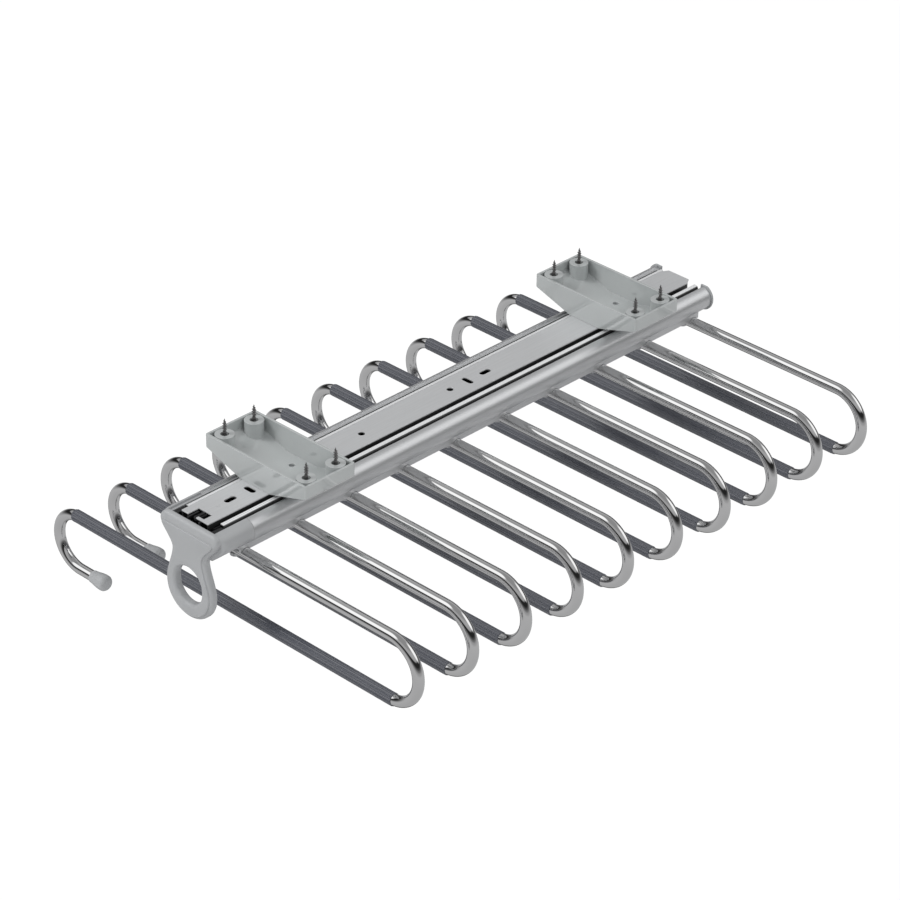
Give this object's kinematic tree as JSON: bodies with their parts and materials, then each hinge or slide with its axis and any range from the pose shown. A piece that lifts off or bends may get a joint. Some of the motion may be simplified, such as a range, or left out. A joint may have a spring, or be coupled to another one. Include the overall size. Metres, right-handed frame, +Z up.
{
  "type": "pull out trouser rack",
  "caption": "Pull out trouser rack for the underside of a shelf: an aluminium channel on a ball bearing slide, with a front pull ring and wire hangers with grip sleeves.",
  "frame": {"origin": "centre of the front bracket's four screws, in the plane where the brackets meet the shelf", "axes": "+X to the right along the hangers' bars, seen from the front; +Y into the wardrobe, so the rack pulls out along -Y; +Z up"},
  "size_m": [0.3373, 0.4593, 0.1507],
  "materials": {
    "bracket_plastic": "smooth moulded, light grey",
    "wood_screw_steel": "dark plated",
    "zinc_screw": "zinc plated",
    "rail_plate_steel": "satin zinc plated sheet",
    "middle_rail_steel": "satin zinc plated sheet",
    "bottom_rail_steel": "bright zinc plated sheet",
    "cage_steel": "dark, oiled",
    "ball_steel": "polished",
    "black_plastic": "moulded",
    "channel_aluminium": "satin anodised, drawn lengthwise",
    "cap_plastic": "fine moulded texture, light grey",
    "hanger_chrome": "mirror plated",
    "sleeve_rubber": "ribbed, blue grey",
    "tip_plastic": "moulded, light grey"
  },
  "bodies": {
    "fixed_mount": {"front_bracket": "bracket_plastic", "rear_bracket": "bracket_plastic", "front_bracket_screws": "wood_screw_steel", "rear_bracket_screws": "wood_screw_steel", "slide_screws": "zinc_screw", "top_rail": "rail_plate_steel", "lever_rivet": "rail_plate_steel"},
    "carriage": {"channel": "channel_aluminium", "front_cap": "cap_plastic", "rear_cap_left": "cap_plastic", "rear_cap_right": "cap_plastic", "bottom_rail": "bottom_rail_steel", "rail_screws": "zinc_screw", "front_buffer": "black_plastic", "hanger_screws": "zinc_screw", "hanger_1": "hanger_chrome", "hanger_2": "hanger_chrome", "hanger_3": "hanger_chrome", "hanger_4": "hanger_chrome", "hanger_5": "hanger_chrome", "hanger_6": "hanger_chrome", "hanger_7": "hanger_chrome", "hanger_8": "hanger_chrome", "hanger_9": "hanger_chrome", "hanger_10": "hanger_chrome", "grip_sleeve_1": "sleeve_rubber", "grip_sleeve_2": "sleeve_rubber", "grip_sleeve_3": "sleeve_rubber", "grip_sleeve_4": "sleeve_rubber", "grip_sleeve_5": "sleeve_rubber", "grip_sleeve_6": "sleeve_rubber", "grip_sleeve_7": "sleeve_rubber", "grip_sleeve_8": "sleeve_rubber", "grip_sleeve_9": "sleeve_rubber", "grip_sleeve_10": "sleeve_rubber", "end_tip_1": "tip_plastic", "end_tip_2": "tip_plastic", "end_tip_3": "tip_plastic", "end_tip_4": "tip_plastic", "end_tip_5": "tip_plastic", "end_tip_6": "tip_plastic", "end_tip_7": "tip_plastic", "end_tip_8": "tip_plastic", "end_tip_9": "tip_plastic", "end_tip_10": "tip_plastic"},
    "middle_rail": {"middle_rail": "middle_rail_steel"},
    "upper_cage": {"upper_ball_cage": "cage_steel", "upper_balls": "ball_steel"},
    "lower_cage": {"lower_ball_cage": "cage_steel", "lower_balls": "ball_steel"},
    "release_lever": {"release_lever": "black_plastic"}
  },
  "joints": [
    {"name": "carriage_slide", "type": "slide", "parent": "fixed_mount", "child": "carriage", "axis": [0, -1, 0], "range_m": [0, 0.43]},
    {"name": "middle_rail_slide", "type": "slide", "parent": "fixed_mount", "child": "middle_rail", "axis": [0, -1, 0], "range_m": [0, 0.215]},
    {"name": "upper_cage_slide", "type": "slide", "parent": "fixed_mount", "child": "upper_cage", "axis": [0, -1, 0], "range_m": [0, 0.1075]},
    {"name": "lower_cage_slide", "type": "slide", "parent": "fixed_mount", "child": "lower_cage", "axis": [0, -1, 0], "range_m": [0, 0.3225]},
    {"name": "release_lever_pivot", "type": "hinge", "parent": "fixed_mount", "child": "release_lever", "pos_m": [0, -0.0524, -0.021], "axis": [0, 0, 1], "range_deg": [-4, 4], "stiffness_Nm_per_rad": 0.02}
  ],
  "couplings": [
    {"joint": "middle_rail_slide", "follows": "carriage_slide", "ratio": 0.5},
    {"joint": "upper_cage_slide", "follows": "carriage_slide", "ratio": 0.25},
    {"joint": "lower_cage_slide", "follows": "carriage_slide", "ratio": 0.75}
  ]
}
